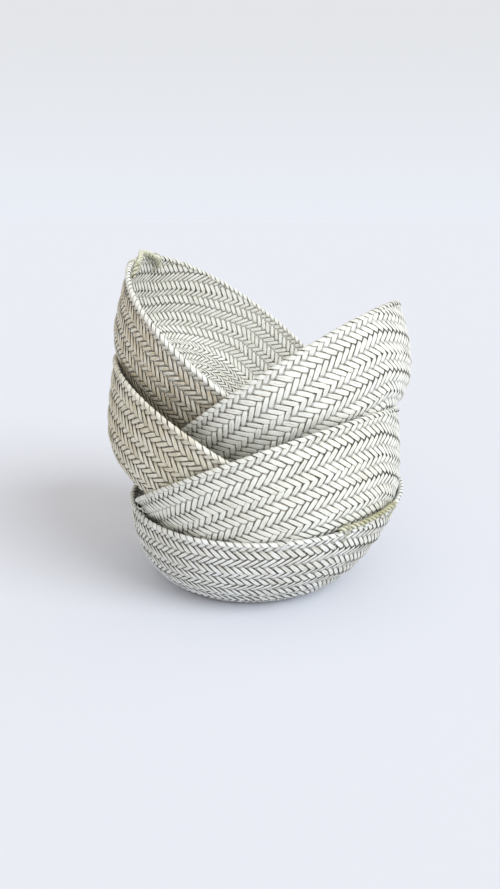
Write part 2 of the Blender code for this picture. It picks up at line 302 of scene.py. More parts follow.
class Spiral:
    """The braid's course: level round the basket, stepping in by its own width at each turn."""

    def __init__(self, bowl):
        self.start = STEP_ANGLES[bowl.number] - STEP_SPAN
        course = np.arange(COURSE_START, FULL_TURN * MOST_COILS, 1.0)
        top = self.coils(course) * BRAID
        radius = np.maximum(bowl.outer(bowl.rim - np.maximum(top, 0.0) - BRAID / 4)[0], LEAST_RADIUS)
        self.course = course
        self.counts = np.concatenate(([0.0], np.cumsum(np.radians(1.0) * radius[:-1] / bowl.spacing)))

    def coils(self, course):
        """How many braid widths below the rim the braid's upper edge is."""
        turn = np.floor(course / FULL_TURN)
        ramp = np.clip((course - FULL_TURN * turn - (FULL_TURN - STEP_SPAN)) / STEP_SPAN, 0.0, 1.0)
        return turn + ramp

    def course_at(self, count):
        return np.interp(count, self.counts, self.course)

    def count_at(self, course):
        return float(np.interp(course, self.course, self.counts))


# mesh helpers
def strand_mesh(name, stations, copies):
    """Straight strands side by side: X across, Y the station's number, Z out, made by extruding a lens."""
    mesh = bpy.data.meshes.new(name)
    shape = bmesh.new()
    ring = bmesh.ops.create_circle(shape, cap_ends=True, segments=STRAND_SIDES, radius=0.5)
    bmesh.ops.rotate(shape, verts=ring["verts"], matrix=Matrix.Rotation(math.pi / 2, 3, "X"))
    flat = [v for v in ring["verts"] if abs(v.co.z) > HEXAGON_HEIGHT / 2]
    bmesh.ops.scale(shape, verts=flat, vec=(SHOULDER_SHARE, 1.0, 1.0))
    bmesh.ops.scale(shape, verts=ring["verts"], vec=(1.0, 1.0, 1.0 / HEXAGON_HEIGHT / 2))
    bmesh.ops.spin(shape, geom=shape.faces[:], axis=(0, 0, 1), cent=(0, 0, 0), dvec=(0, 1, 0), angle=0.0,
                   steps=len(stations) - 1, use_duplicate=False)
    bmesh.ops.recalc_face_normals(shape, faces=shape.faces)
    shape.to_mesh(mesh)
    shape.free()
    single = bpy.data.objects.new(name, mesh)
    bpy.context.scene.collection.objects.link(single)
    row = single.modifiers.new("row", "ARRAY")
    row.count = copies
    row.use_relative_offset = False
    row.use_constant_offset = True
    row.constant_offset_displace = (FLAT_PITCH, 0.0, 0.0)
    bpy.context.view_layer.update()
    whole = bpy.data.meshes.new_from_object(single.evaluated_get(bpy.context.evaluated_depsgraph_get()))
    bpy.data.objects.remove(single)
    return whole


def read_points(mesh):
    points = np.empty(len(mesh.vertices) * 3)
    mesh.vertices.foreach_get("co", points)
    return points.reshape(-1, 3)


def write_points(mesh, points):
    mesh.vertices.foreach_set("co", np.ascontiguousarray(points).ravel())
    mesh.update()


def add_values(mesh, name, values):
    layer = mesh.attributes.new(name, "FLOAT", "POINT")
    layer.data.foreach_set("value", np.ascontiguousarray(values, dtype=np.float32))


def read_values(mesh, name):
    values = np.empty(len(mesh.vertices), dtype=np.float32)
    mesh.attributes[name].data.foreach_get("value", values)
    return values


def lay_grain(mesh, along, across):
    """A UV map that runs with the strand: along it in centimetres, and across it from 0 to 1."""
    corners = np.empty(len(mesh.loops), dtype=np.int32)
    mesh.loops.foreach_get("vertex_index", corners)
    layer = mesh.uv_layers.new(name="grain")
    layer.data.foreach_set("uv", np.stack((along[corners], across[corners]), -1).astype(np.float32).ravel())


def finish_piece(name, mesh, bowl, material, node, smooth_angle=None):
    """The mesh as a piece that rides on its basket and stands for the named solid."""
    mesh.materials.clear()
    mesh.materials.append(material)
    mesh.shade_smooth()
    if smooth_angle:
        mesh.set_sharp_from_angle(angle=math.radians(smooth_angle))
    piece = bpy.data.objects.new(name, mesh)
    bpy.context.scene.collection.objects.link(piece)
    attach(piece, bowl.name)
    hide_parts(node)
    return piece


def stations_of(turns):
    """Where a strand has an edge across it: at its turns and on its long floats."""
    places = [turns[0][0]]
    for i, (middle, _) in enumerate(turns[1:], 1):
        before = turns[i - 1][0] + TURN_HALF
        length = middle - TURN_HALF - before
        if length > 1.0:
            places.extend(before + length * k / FLOAT_CUTS for k in range(1, FLOAT_CUTS))
        if i < len(turns) - 1:
            places.extend(middle + TURN_HALF * k for k in TURN_STEPS)
        else:
            places.extend((middle - TURN_HALF, middle - TURN_HALF / 3, middle + TURN_HALF / 2))
    return places


def height_of(turns, t):
    """How high a strand stands, from -1 under to 1 over."""
    level = np.full_like(t, turns[0][1])
    for i, (middle, after) in enumerate(turns[1:], 1):
        before = turns[i - 1][1]
        u = np.clip((t - middle + TURN_HALF) / (2 * TURN_HALF), 0.0, 1.0)
        level += (after - before) * u * u * (3 - 2 * u)
    return level


def arch_of(turns, t):
    """The arch of each float, 1 or -1 where it stands highest: nearer to the crest than to the furrow."""
    total = np.zeros_like(t)
    for i, ((a, level), (b, _)) in enumerate(zip(turns, turns[1:])):
        if level:
            u = np.clip((t - a) / (b - a), 0.0, 1.0)
            u = 1 - u if i % 2 else u
            total += level * np.sin(np.pi * u ** ARCH_SKEW) ** ARCH_FULLNESS
    return total


def furrow_at(row):
    """0 on the crests of the chevron rows and 1 in their furrows."""
    return 0.5 - 0.5 * np.cos(np.pi * np.interp(row, FURROW_PLACES, FURROW_LEVELS))


def weave_half(bowl, spiral, first, last, falling, name):
    """The strands that lie one way, between two counts along the braid, laid flat and cut to the wall."""
    turns = FALLING_TURNS if falling else RISING_TURNS
    stations = stations_of(turns)
    start = math.floor(first - 6) if falling else math.floor(first)
    stop = math.ceil(last) if falling else math.ceil(last + 6)
    copies = stop - start
    mesh = strand_mesh(name, stations, copies)
    points = read_points(mesh)
    strand = np.round(points[:, 0] / FLAT_PITCH).astype(int)
    q = points[:, 0] - FLAT_PITCH * strand
    t = np.array(stations)[np.round(points[:, 1]).astype(int)]
    thick = points[:, 2]
    random = bowl.random
    arch = arch_of(turns, t)
    width = random.uniform(*STRAND_WIDTHS[bowl.number], copies)[strand]
    width = width * (WAIST_SHARE + (1 - WAIST_SHARE) * np.abs(arch))
    nudge = random.uniform(-STRAND_NUDGE, STRAND_NUDGE, copies)[strand]
    tilt = random.uniform(*STRAND_TILTS, copies)[strand]
    phase = random.uniform(*PHASES, copies)[strand]
    shade = random.uniform(0.0, 1.0, copies)[strand]
    across = q * width * (1 + WIDTH_SWAY * np.sin(t * WIDTH_SWAY_RATE + phase))
    across += nudge + STRAND_SWAY * np.sin(t * STRAND_SWAY_RATE + 2 * phase)
    number = strand + start
    if falling:
        count = number + (t + across) / 2
        row = t - across
    else:
        count = number + (across - t) / 2
        row = t + across
    level = height_of(turns, t) * WEAVE_SWING + arch * PILLOW
    # painted shade where a strand dives under the next ones, taken from its level before the furrows flatten
    # it
    sunk_shade = np.clip(SUNK_START - np.abs(level) / WEAVE_SWING, 0.0, 1.0)
    level *= 1 - FURROW_SHARE * furrow_at(row)
    level += thick * STRAND_THICKNESS
    level += q * tilt * TILT_HEIGHT * np.sin(t * TILT_RATE + phase)
    course = spiral.course_at(count)
    down = spiral.coils(course) * BRAID + row * ROW
    write_points(mesh, np.stack((course, down / MM, level / MM), -1))
    add_values(mesh, "shade", shade)
    add_values(mesh, "along", t * CROSSING_LENGTH + GRAIN_SHIFT * phase)
    add_values(mesh, "across", q + 0.5)
    add_values(mesh, "sunk_shade", sunk_shade)
    # the outer face, which the material makes browner: partly wear, partly painted warm shade
    add_values(mesh, "outer", height_of(turns, t) > 0)
    return mesh


def make_weave(bowl, spiral, first, last, part, material):
    """Both halves of the weave between two counts, cut at the rim and the centre and bent onto the bowl."""
    name = f"{bowl.name}_weave_{part}"
    shape = bmesh.new()
    for falling in (True, False):
        mesh = weave_half(bowl, spiral, first, last, falling, bowl.name + "_strands")
        shape.from_mesh(mesh)
        bpy.data.meshes.remove(mesh)
    # flat, X is the course in degrees and Y the distance down in millimetres
    cuts = (((0.0, RIM_CUT, 0.0), (0.0, -1.0, 0.0)),
            ((0.0, (bowl.rim - CENTRE_HOLE) / MM, 0.0), (0.0, 1.0, 0.0)),
            ((float(spiral.course_at(first)), 0.0, 0.0), (-1.0, 0.0, 0.0)),
            ((float(spiral.course_at(last)), 0.0, 0.0), (1.0, 0.0, 0.0)))
    for point, normal in cuts:
        geom = shape.verts[:] + shape.edges[:] + shape.faces[:]
        bmesh.ops.bisect_plane(shape, geom=geom, plane_co=point, plane_no=normal, clear_outer=True)
    edges = [e for e in shape.edges if e.is_boundary]
    bmesh.ops.holes_fill(shape, edges=edges, sides=0)
    mesh = bpy.data.meshes.new(name)
    shape.to_mesh(mesh)
    shape.free()
    points = read_points(mesh)
    course, down, level = points[:, 0], points[:, 1] * MM, points[:, 2] * MM
    along = bowl.rim - down
    level = level * np.clip(along / CENTRE_REACH, CENTRE_SHARE, 1.0)
    write_points(mesh, bowl.on_wall(spiral.start + course, down, level))
    mesh.flip_normals()
    lay_grain(mesh, read_values(mesh, "along"), read_values(mesh, "across"))
    piece = finish_piece(name, mesh, bowl, material, bowl.name + "_plait", WEAVE_EDGE_ANGLE)


def make_rim_folds(bowl, material):
    """The strands' folds over the rolled rim, side by side, each from the inner face over to the outer."""
    copies = int(2 * math.pi * RIM_RADIUS / bowl.spacing)
    stations = np.linspace(-1.0, 1.0, FOLD_CUTS + 1)
    mesh = strand_mesh(bowl.name + "_folds", stations, copies)
    points = read_points(mesh)
    strand = np.round(points[:, 0] / FLAT_PITCH).astype(int)
    q = points[:, 0] - FLAT_PITCH * strand
    t = stations[np.round(points[:, 1]).astype(int)]
    thick = points[:, 2]
    random = bowl.random
    width = random.uniform(*FOLD_WIDTHS, copies)[strand]
    nudge = random.uniform(-FOLD_NUDGE, FOLD_NUDGE, copies)[strand]
    size = random.uniform(*FOLD_SIZES, copies)[strand]
    shade = random.uniform(0.0, 1.0, copies)[strand]
    phase = random.uniform(*PHASES, copies)[strand]
    # flat: x round the rim and v over it, negative on the inner face
    narrow = FOLD_TIP_SHARE + (1 - FOLD_TIP_SHARE) * np.sqrt(np.clip(1 - np.abs(t) ** 2.6, 0.0, 1.0))
    lean = math.radians(FOLD_LEAN)
    side = q * width * narrow * bowl.spacing * math.sin(lean) * FOLD_OVERLAP
    v = t * FOLD_REACH - side * math.cos(lean)
    x = t * FOLD_REACH / math.tan(lean) + side * math.sin(lean)
    out = thick * FOLD_THICKNESS * size * (1 - 0.7 * np.abs(t) ** 3)
    out += FOLD_RISE - FOLD_TUCK * np.abs(t) ** 3.5
    spacing = 2 * math.pi * RIM_RADIUS / copies
    degrees = np.degrees((x + (strand + nudge) * spacing) / RIM_RADIUS)
    # the roll: an oval round the rim's middle, a little taller than it is wide
    core = WALL / 2 + RIM_SWELL - FOLD_SINK
    angle = v / (RIM_ROLL / 2)
    across = WALL / 2 - (core + out) * np.sin(angle) - bowl.wavy(degrees, 0.0)
    above = (core + out + FOLD_CROWN) * np.cos(angle) - RIM_ROLL * FOLD_SEAT_SHARE
    write_points(mesh, bowl.on_rim(degrees, across, above))
    add_values(mesh, "shade", shade)
    # painted shade towards a fold's ends, where they tuck back into the roll
    add_values(mesh, "sunk_shade", np.abs(t) ** 3)
    # the folds' outer ends are browner: partly wear, partly painted warm shade
    add_values(mesh, "outer", FOLD_OUTER_AGE_AND_SHADE * (t > FOLD_OUTER_START))
    lay_grain(mesh, t * FOLD_GRAIN + GRAIN_SHIFT * phase, q + 0.5)
    mesh.flip_normals()
    name = bowl.name + "_rim_folds"
    piece = finish_piece(name, mesh, bowl, material, bowl.name + "_plait", FOLD_EDGE_ANGLE)


def loop_line(bowl, share):
    """The loop's middle, across the wall and above the rim, from its top (0) to its end (1)."""
    clear = LOOP_THICKNESS / 2 + SEAT_GAP
    if not LOOP_TURNS[bowl.number]:
        return WALL - clear - SEAT_GAP, clear + WALL / 8
    turned = min(share / LOOP_TOP_SHARE, 1.0)
    swing = math.radians(90.0) * turned * turned * (3 - 2 * turned)
    across = WALL / 2 + (WALL / 2 + RIM_SWELL + clear) * math.sin(swing)
    above = (clear + WALL / 8 + LOOP_ARCH) * math.cos(swing)
    if share > LOOP_TOP_SHARE:
        down = (share - LOOP_TOP_SHARE) / (1 - LOOP_TOP_SHARE)
        above -= LOOP_LEG * down * down * (2 - down)
    return across, above


def stitch_line(bowl):
    """A stitch's course over the loop's end, across the wall and above the rim, as in the solids."""
    half = STITCH_THICKNESS / 2 + SEAT_GAP
    across, above = loop_line(bowl, STITCH_SHARE)
    beyond = loop_line(bowl, (1 + STITCH_SHARE) / 2)[1]
    slope = (above - beyond) / ((1 - STITCH_SHARE) * LOOP_SPAN / 4)
    wide = LOOP_THICKNESS / 2 + half + 2 * SEAT_GAP
    tall = wide * math.hypot(1.0, slope)
    clear = half + RIM_SWELL
    line = [(-half, -STITCH_REACH), (-clear, -RIM_ROLL), (-clear, -RIM_ROLL / 2)]
    turned = LOOP_TURNS[bowl.number]
    if turned:
        line.append((-half, 0.0))
        line.append((WALL / 4, half + WALL / 4))
        line.append((WALL / 2, max(half + WALL / 4, above + tall)))
    for step in range(5):
        angle = math.radians(180.0 - 90.0 * turned - 45.0 * step)
        line.append((across + wide * math.cos(angle), above + tall * math.sin(angle)))
    foot = above - tall - half if turned else 0.0
    line.append((WALL + clear, foot))
    line.append((WALL + clear, foot - STITCH_REACH / 2))
    return line


def even_line(points, pieces):
    """The same line cut into even lengths."""
    points = np.array(points)
    lengths = np.concatenate(([0.0], np.cumsum(np.linalg.norm(np.diff(points, axis=0), axis=1))))
    at = np.linspace(0.0, lengths[-1], pieces + 1)
    return np.stack([np.interp(at, lengths, points[:, k]) for k in range(3)], -1), at


def frame_along(line, guide):
    """The side and the rise at each point of a line, the rise as near to the guide as it can be."""
    run = np.gradient(line, axis=0)
    run /= np.linalg.norm(run, axis=1)[:, None]
    side = np.cross(guide, run)
    side /= np.linalg.norm(side, axis=1)[:, None]
    return side, np.cross(run, side)


def tube_mesh(name, line, thickness, flat, guide, sides=8, taper=0.25, groove=0.0):
    """A strand along a line of points: a ring extruded straight, then laid along the line."""
    count = len(line)
    mesh = bpy.data.meshes.new(name)
    shape = bmesh.new()
    ring = bmesh.ops.create_circle(shape, cap_ends=True, segments=sides, radius=1.0)
    bmesh.ops.spin(shape, geom=shape.faces[:], axis=(0, 0, 1), cent=(0, 0, 0), dvec=(0, 0, 1), angle=0.0,
                   steps=count - 1, use_duplicate=False)
    bmesh.ops.recalc_face_normals(shape, faces=shape.faces)
    shape.to_mesh(mesh)
    shape.free()
    points = read_points(mesh)
    index = np.round(points[:, 2]).astype(int)
    side, rise = frame_along(line, guide)
    share = np.arange(count) / (count - 1)
    ends = np.clip(np.minimum(share, 1 - share) / END_SHARE, 0.0, 1.0)
    size = thickness / 2 * (taper + (1 - taper) * np.sqrt(ends))
    x = points[:, 0] * size[index]
    y = points[:, 1] * size[index] * flat
    turned = np.arctan2(points[:, 1], points[:, 0])
    lengths = np.concatenate(([0.0], np.cumsum(np.linalg.norm(np.diff(line, axis=0), axis=1))))
    write_points(mesh, line[index] + side[index] * x[:, None] + rise[index] * y[:, None])
    lay_grain(mesh, lengths[index] * 100.0, (turned / math.pi + 1) / 2)
    # painted shade in the groove where a cord's plies meet: each ply is darker on its side towards the cord's
    # middle
    add_values(mesh, "sunk_shade", groove * np.clip(0.45 - 0.6 * points[:, 1], 0.0, 1.0))
    return mesh


def join_meshes(name, meshes):
    shape = bmesh.new()
    for mesh in meshes:
        shape.from_mesh(mesh)
        bpy.data.meshes.remove(mesh)
    whole = bpy.data.meshes.new(name)
    shape.to_mesh(whole)
    shape.free()
    return whole


def twisted(line, thickness, pitch, guide):
    """The lines of the plies of a twisted cord, each with its guide pointing away from the middle."""
    line, lengths = even_line(line, CORD_POINTS)
    side, rise = frame_along(line, np.tile(guide, (len(line), 1)))
    found = []
    for ply in range(PLIES):
        angle = 2 * math.pi * (lengths / pitch + ply / PLIES)
        away = side * np.cos(angle)[:, None] + rise * np.sin(angle)[:, None]
        found.append((line + away * thickness / 4, away))
    return found


def rim_points(bowl, places):
    """Points at the rim from places in degrees, across the wall and above the rim."""
    return [bowl.on_rim(*(np.array([value]) for value in place))[0] for place in places]


def smoothed(line, rounds):
    for _ in range(rounds):
        line[1:-1] = (line[:-2] + 2 * line[1:-1] + line[2:]) / 4
    return line


def make_loop(bowl, material):
    """The hanging loop: two plies of palm twisted together."""
    places = []
    for i in range(LOOP_POINTS + 1):
        place = 2 * i / LOOP_POINTS - 1
        degrees = LOOP_ANGLES[bowl.number] + math.degrees(place * LOOP_SPAN / 2 / RIM_RADIUS)
        places.append((degrees, *loop_line(bowl, abs(place))))
    meshes = [tube_mesh("ply", line, LOOP_THICKNESS * LOOP_PLY_SHARE, LOOP_PLY_FLAT, away, 8, PLY_TAPER, 1.0)
              for line, away in twisted(rim_points(bowl, places), LOOP_THICKNESS, LOOP_PITCH, bowl.turn @ UP)]
    mesh = join_meshes(bowl.name + "_loop_plies", meshes)
    add_values(mesh, "shade", np.full(len(mesh.vertices), LOOP_SHADE))
    piece = finish_piece(bowl.name + "_twisted_loop", mesh, bowl, material, bowl.name + "_hanging_loop")


def make_stitch(bowl, side, material):
    """The palm strand that is wound over one end of the loop, two plies twisted."""
    sign = {"a": -1, "b": 1}[side]
    degrees = LOOP_ANGLES[bowl.number] + sign * math.degrees(STITCH_SHARE * LOOP_SPAN / 2 / RIM_RADIUS)
    line, _ = even_line(rim_points(bowl, [(degrees, *place) for place in stitch_line(bowl)]), STITCH_POINTS)
    angle = math.radians(degrees)
    guide = bowl.turn @ np.array((-math.sin(angle), math.cos(angle), 0.0))
    meshes = [tube_mesh("ply", ply, STITCH_THICKNESS * STITCH_PLY_SHARE, 1.0, away, 6, PLY_TAPER, 1.0)
              for ply, away in twisted(smoothed(line, 3), STITCH_THICKNESS, STITCH_PITCH, guide)]
    name = f"{bowl.name}_stitch_{side}"
    mesh = join_meshes(name + "_plies", meshes)
    add_values(mesh, "shade", np.full(len(mesh.vertices), STITCH_SHADE))
    piece = finish_piece(name, mesh, bowl, material, f"{bowl.name}_loop_stitch_{side}")


def make_seam(bowl, spiral, material):
    """The sewing strand: along the seam on the inner face, dipping between the folds."""
    courses = np.arange(0.0, FULL_TURN * MOST_COILS, SEAM_STEP)
    down = (spiral.coils(courses) + 1) * BRAID
    keep = bowl.rim - down > BRAID / 2
    courses, down = courses[keep], down[keep]
    dip = np.cos(2 * math.pi * np.interp(courses, spiral.course, spiral.counts))
    inner = WALL / 2 - THREAD_THICKNESS / 2 + dip * SEAM_DIP
    points = bowl.on_wall(spiral.start + courses, down, -inner)
    guide = np.tile(bowl.turn @ UP, (len(points), 1))
    mesh = tube_mesh(bowl.name + "_sewing", points, THREAD_THICKNESS * SEAM_SWELL_SHARE, SEAM_FLAT, guide, 6)
    add_values(mesh, "shade", np.full(len(mesh.vertices), SEAM_SHADE))
    piece = finish_piece(bowl.name + "_sewing_strand", mesh, bowl, material, bowl.name + "_seam_thread")


def make_centre(bowl, material):
    """The braid's inner end: a strip curled up tight in the middle of the base."""
    turns = np.linspace(0.0, CURL_TURNS * 2 * math.pi, CURL_POINTS)
    radius = CURL_START + turns / (2 * math.pi) * CURL_PITCH
    points = bowl.place(radius, np.full_like(turns, WALL / 2 + CURL_RISE), np.degrees(turns))
    guide = np.tile(bowl.turn @ UP, (len(points), 1))
    mesh = tube_mesh(bowl.name + "_curl", points, CURL_THICKNESS, CURL_FLAT, guide, 8, PLY_TAPER)
    add_values(mesh, "shade", np.full(len(mesh.vertices), CURL_SHADE))
    piece = finish_piece(bowl.name + "_centre_curl", mesh, bowl, material, bowl.name + "_plait")


def make_sliver(bowl, name, places, width, material):
    """A split end of a strand that has come loose at the rim."""
    points = rim_points(bowl, [(degrees, across * MM, above * MM) for degrees, across, above in places])
    line = smoothed(even_line(points, SLIVER_POINTS)[0], 4)
    inner = rim_points(bowl, [(places[0][0], WALL, -SLIVER_SEAT)])[0]
    guide = np.tile(points[0] - inner, (len(line), 1))
    mesh = tube_mesh(name, line, width, SLIVER_FLAT, guide / np.linalg.norm(guide[0]), 6, SLIVER_TAPER)
    add_values(mesh, "shade", np.full(len(mesh.vertices), SLIVER_SHADE))
    piece = finish_piece(f"{bowl.name}_{name}", mesh, bowl, material, bowl.name + "_plait")


# the palm leaf
FIBRE_RUN = 1.1                # scale of the fibres along a strand, for each centimetre
FIBRES_ACROSS = 14.0           # and across its whole width
STAIN_RUN = 0.8
STAIN_ACROSS = 2.2
FIBRE_SHIFT = 57.0             # how far the pattern moves on from one strand's shade to another's
STAIN_SHIFT = 91.0
PATCH_SCALE = 14.0
PATCH_START, PATCH_SLOPE = 0.42, 3.0
STRAND_AGE_START, STRAND_AGE_SLOPE, STRAND_AGE_SHARE = 0.35, 0.9, 0.8
STAIN_AMOUNT = 1.1
OUTER_STAIN, OUTER_CLEAR = 2.4, -0.2
STREAK_START, STREAK_SLOPE, STREAK_AMOUNT = 0.56, 2.6, 0.55
STREAK_COLOUR = (0.74, 0.71, 0.60, 1.0)
# where the painted shade of the gap starts along a strip's edges, and how fast it comes in
EDGE_START, EDGE_SLOPE = 0.435, 20.0   # from a strand's middle, in its widths
EDGE_RAGGED = 0.30
# how much nearer a strip's middle its edge bands start on the browner, partly painted-shade outer face
EDGE_OUTER_SHIFT = -0.06
WARM_REACH, WARM_SLOPE, WARM_AMOUNT = 0.07, 10.0, 0.5
WARM_COLOUR = (0.47, 0.38, 0.23, 1.0)
SPLIT_DRIFT, SPLIT_PLACE = 0.5, 0.25
SPLIT_SLOPE, SPLIT_LEAST_SHADE, SPLIT_AMOUNT = 26.0, 0.66, 0.55
DEEP_POWER = 3.0
ROUGH_RANGE, ROUGH_LEAST = 0.25, 0.45
STAIN_HEIGHT = 0.6
PALM_SPECULAR = 0.3
GRAIN_DEPTH = 0.2 * MM
# by basket, from the lowest
BASKET_PALE = ((0.86, 0.89, 0.90), (0.84, 0.87, 0.84), (0.86, 0.86, 0.80), (0.85, 0.875, 0.85),
               (0.88, 0.91, 0.89))
BASKET_WORN = ((0.64, 0.64, 0.57), (0.68, 0.67, 0.58), (0.63, 0.58, 0.44), (0.71, 0.70, 0.62),
               (0.63, 0.55, 0.40))
# how much browner each basket's outer face is: partly wear, partly painted warm shade
OUTER_AGE_AND_SHADE = (0.30, 0.10, 0.36, 0.0, 0.58)
PATCHES = (0.4, 0.3, 0.5, 0.35, 0.2)
# how dark the painted shade of the gaps along each basket's strip edges is
EDGE_SHADE_AMOUNT = (1.0, 0.9, 0.95, 0.85, 0.95)
# the near-black colour of the painted shade in the gaps and where strips dive, and of the split lines
EDGE = (0.028, 0.021, 0.011)
# the loop's palm, pale to worn, and the colour of its edges and of the painted shade in its ply grooves
LOOP_PALE, LOOP_WORN, LOOP_EDGE = (0.72, 0.73, 0.60), (0.42, 0.42, 0.26), (0.06, 0.06, 0.02)
SEWING_PALE, SEWING_WORN = (0.76, 0.76, 0.69), (0.62, 0.60, 0.50)


def palm_fibre_group():
    """Lengthwise fibres, strip edges darkened by painted shade of the gaps, painted shade where a strip
    dives, patches of ageing and a browner outer face, partly wear and partly painted warm shade, on a strip
    of palm leaf.
    """
    group = bpy.data.node_groups.new("palm_fibre", "ShaderNodeTree")
    face = group.interface
    for name in ("Pale", "Worn", "Edge"):
        face.new_socket(name, in_out="INPUT", socket_type="NodeSocketColor")
    for name in ("Fibre Scale", "Patch Amount", "Edge Amount", "Outer Age And Shade"):
        face.new_socket(name, in_out="INPUT", socket_type="NodeSocketFloat")
    face.new_socket("Color", in_out="OUTPUT", socket_type="NodeSocketColor")
    face.new_socket("Roughness", in_out="OUTPUT", socket_type="NodeSocketFloat")
    face.new_socket("Height", in_out="OUTPUT", socket_type="NodeSocketFloat")
    nodes, links = group.nodes, group.links

    def read(attribute):
        made = nodes.new("ShaderNodeAttribute")
        made.attribute_name = attribute
        return made.outputs["Fac"]

    def noise(vector, scale, detail, roughness=0.5):
        made = nodes.new("ShaderNodeTexNoise")
        made.inputs["Scale"].default_value = scale
        made.inputs["Detail"].default_value = detail
        made.inputs["Roughness"].default_value = roughness
        links.new(vector, made.inputs["Vector"])
        return made.outputs["Fac"]

    def math_node(operation, a, b=None, c=None, clamp=False):
        made = nodes.new("ShaderNodeMath")
        made.operation = operation
        made.use_clamp = clamp
        for socket, value in zip(made.inputs, (a, b, c)):
            if value is None:
                continue
            if isinstance(value, (int, float)):
                socket.default_value = value
            else:
                links.new(value, socket)
        return made.outputs[0]

    def ramp(value, start, slope):
        """0 up to the start, and then rising to 1."""
        return math_node("MULTIPLY", math_node("SUBTRACT", value, start), slope, clamp=True)

    def grain_noise(run, width, shift, detail, roughness=0.5):
        """Noise drawn out along a strand, and different on each strand."""
        place = nodes.new("ShaderNodeCombineXYZ")
        for socket, value, scale in zip(place.inputs, (along, width, shade), (run, 1.0, shift)):
            links.new(math_node("MULTIPLY", value, scale), socket)
        return noise(place.outputs[0], 1.0, detail, roughness)

    def mix(kind, factor, a, b):
        made = nodes.new("ShaderNodeMix")
        made.data_type = "RGBA"
        made.blend_type = kind
        for socket, value in ((made.inputs[0], factor), (made.inputs[6], a), (made.inputs[7], b)):
            if isinstance(value, tuple):
                socket.default_value = value
            else:
                links.new(value, socket)
        return made.outputs[2]

    given = nodes.new("NodeGroupInput").outputs
    result = nodes.new("NodeGroupOutput").inputs
    grain = nodes.new("ShaderNodeUVMap")
    grain.uv_map = "grain"
    parts = nodes.new("ShaderNodeSeparateXYZ")
    links.new(grain.outputs[0], parts.inputs[0])
    along, across = parts.outputs[0], parts.outputs[1]
    shade, outer, sunk_shade = read("shade"), read("outer"), read("sunk_shade")
    fibre_width = math_node("MULTIPLY", math_node("MULTIPLY", across, FIBRES_ACROSS), given["Fibre Scale"])
    fine = grain_noise(FIBRE_RUN, fibre_width, FIBRE_SHIFT, 4.0, 0.6)
    broad = grain_noise(STAIN_RUN, math_node("MULTIPLY", across, STAIN_ACROSS), STAIN_SHIFT, 2.0)
    # patches of ageing over the basket, aged strands and stains
    patches = noise(nodes.new("ShaderNodeTexCoord").outputs["Object"], PATCH_SCALE, 3.0)
    patch = ramp(patches, PATCH_START, PATCH_SLOPE)
    strand_age = ramp(shade, STRAND_AGE_START, STRAND_AGE_SLOPE)
    worn = math_node("MULTIPLY_ADD", strand_age, STRAND_AGE_SHARE, patch)
    worn = math_node("MULTIPLY", worn, given["Patch Amount"], clamp=True)
    worn = math_node("MULTIPLY_ADD", math_node("SUBTRACT", broad, 0.5), STAIN_AMOUNT, worn, clamp=True)
    # the outer face is browner: partly wear, partly painted warm shade
    stained = math_node("MULTIPLY_ADD", broad, OUTER_STAIN, OUTER_CLEAR)
    outer_age_and_shade = math_node("MULTIPLY", given["Outer Age And Shade"], stained)
    worn = math_node("MULTIPLY_ADD", outer, outer_age_and_shade, worn, clamp=True)
    base = mix("MIX", worn, given["Pale"], given["Worn"])
    streak = math_node("MULTIPLY", math_node("SUBTRACT", STREAK_START, fine), STREAK_SLOPE, clamp=True)
    leaf = mix("MULTIPLY", math_node("MULTIPLY", streak, STREAK_AMOUNT), base, STREAK_COLOUR)
    # both edges of a strip: a warm band, and the dark line of the gap, which is painted shade
    aside = math_node("ABSOLUTE", math_node("SUBTRACT", across, 0.5))
    start = math_node("MULTIPLY_ADD", math_node("SUBTRACT", fine, 0.5), EDGE_RAGGED, EDGE_START)
    # on the browner outer face, partly painted warm shade, the warm band and the painted gap shade start
    # nearer a strip's middle
    start = math_node("MULTIPLY_ADD", math_node("MULTIPLY", outer, given["Outer Age And Shade"]), EDGE_OUTER_SHIFT, start)
    warm = ramp(aside, math_node("SUBTRACT", start, WARM_REACH), WARM_SLOPE)
    leaf = mix("MIX", math_node("MULTIPLY", warm, WARM_AMOUNT), leaf, WARM_COLOUR)
    # the dark line along both edges: painted shade of the gap between strips
    edge = math_node("MULTIPLY", ramp(aside, start, EDGE_SLOPE), given["Edge Amount"])
    # some strips are split along their length
    split = math_node("SUBTRACT", across, math_node("MULTIPLY_ADD", broad, SPLIT_DRIFT, SPLIT_PLACE))
    split = math_node("MULTIPLY", math_node("ABSOLUTE", split), SPLIT_SLOPE)
    split = math_node("SUBTRACT", 1.0, split, clamp=True)
    split = math_node("MULTIPLY", split, math_node("GREATER_THAN", shade, SPLIT_LEAST_SHADE))
    # dust and shade where a strip dives under the next ones
    dark = math_node("MAXIMUM", edge, math_node("POWER", sunk_shade, DEEP_POWER))
    dark = math_node("MAXIMUM", dark, math_node("MULTIPLY", split, SPLIT_AMOUNT))
    links.new(mix("MIX", dark, leaf, given["Edge"]), result["Color"])
    links.new(math_node("MULTIPLY_ADD", fine, ROUGH_RANGE, ROUGH_LEAST), result["Roughness"])
    links.new(math_node("ADD", fine, math_node("MULTIPLY", broad, STAIN_HEIGHT)), result["Height"])
    return group


